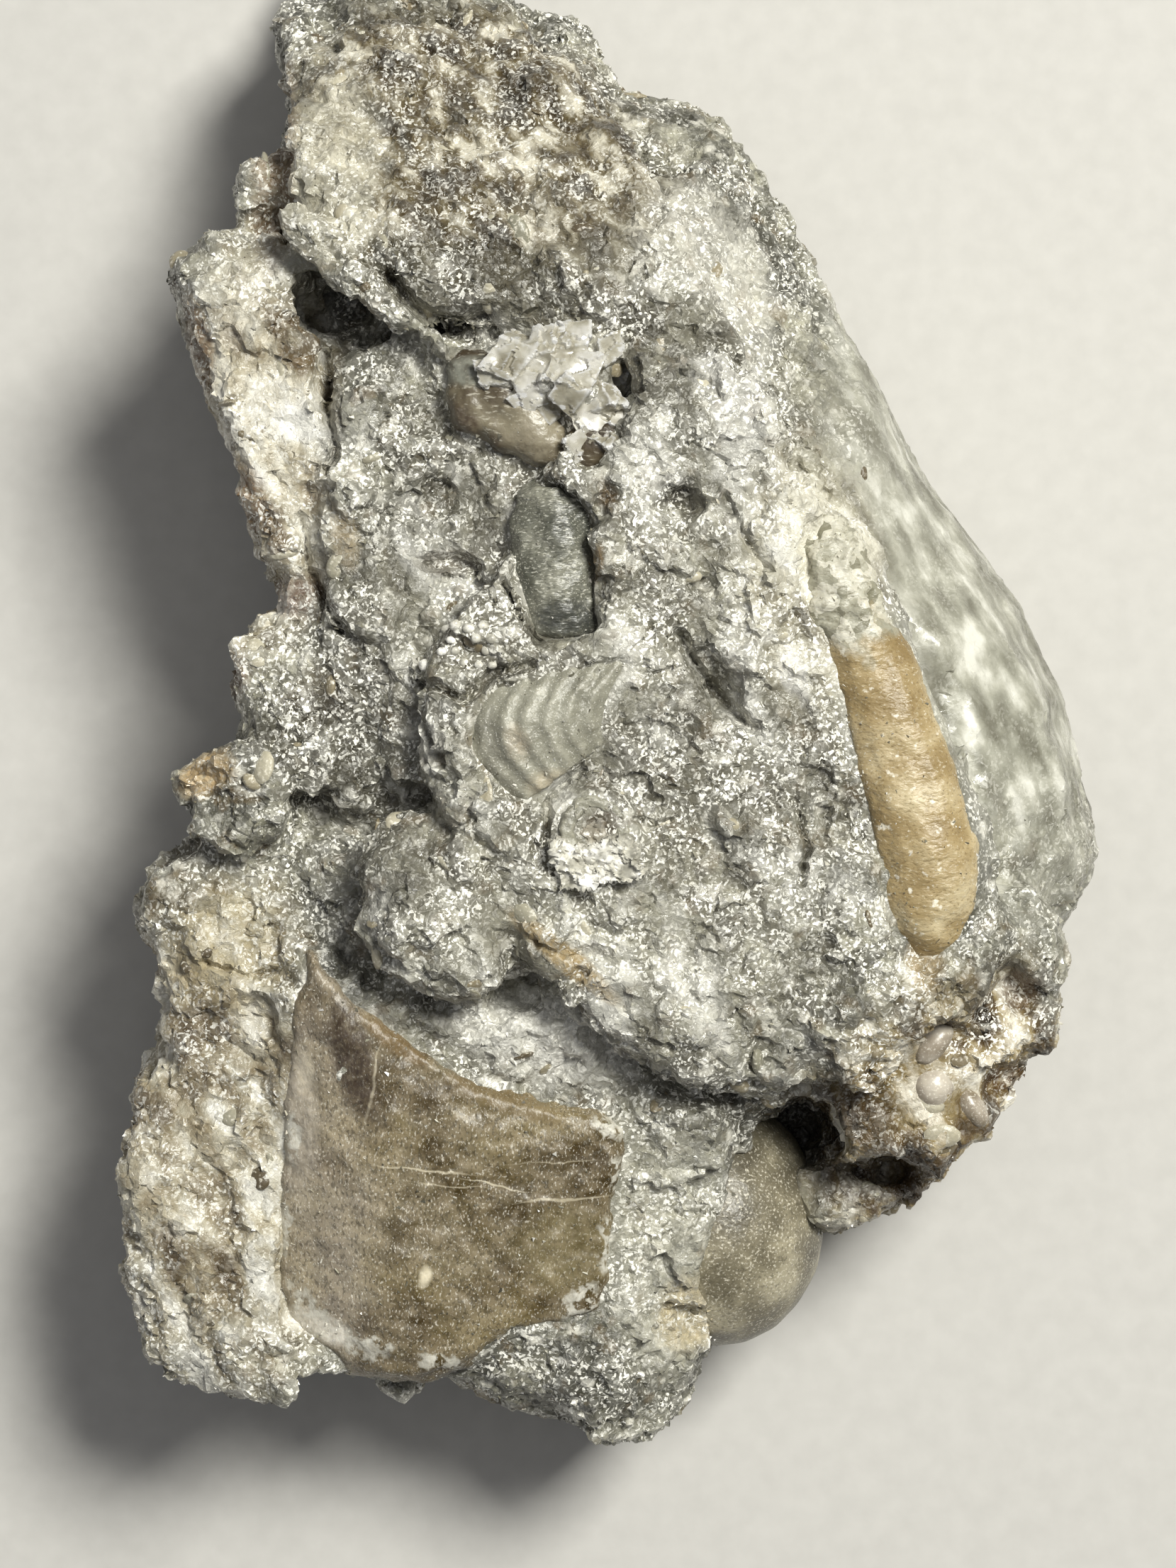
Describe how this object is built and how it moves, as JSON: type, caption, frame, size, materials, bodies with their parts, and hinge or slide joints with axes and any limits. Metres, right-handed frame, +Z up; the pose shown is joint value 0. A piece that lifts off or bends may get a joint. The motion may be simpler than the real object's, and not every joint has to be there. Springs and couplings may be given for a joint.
{
  "type": "trilobite fossil in limestone matrix",
  "caption": "Broken lump of sparry limestone packed with loose trilobite plates, lying on its flat back for display.",
  "frame": {"origin": "middle of the specimen's bounding box at its base, on the surface it lies on", "axes": "+Z up out of the face with the fossils, +Y along the specimen towards its pointed end, +X across it"},
  "size_m": [0.043, 0.0702, 0.023],
  "materials": {
    "limestone": "broken, sparry, grey with brown stains",
    "brown_shell": "smooth satin fossil shell, brown-grey, thinly veined",
    "tan_shell": "smooth satin fossil shell, tan-grey",
    "spine_shell": "finely pitted satin fossil shell, honey tan",
    "grey_shell": "satin fossil shell, grey",
    "dark_shell": "satin fossil shell, dark grey, finely striated",
    "calcite": "clear to milky cleaved calcite"
  },
  "bodies": {
    "root": {"limestone_matrix": "limestone", "tail_shield": "brown_shell", "cheek_dome": "tan_shell", "genal_spine": "spine_shell", "ribbed_plate": "grey_shell", "thorax_segment": "dark_shell", "head_fragment": "brown_shell", "calcite_crystals": "calcite", "ring_shell": "grey_shell", "brown_grain": "brown_shell", "seed_shell_1": "tan_shell", "seed_shell_2": "tan_shell", "seed_shell_3": "tan_shell"}
  },
  "joints": []
}
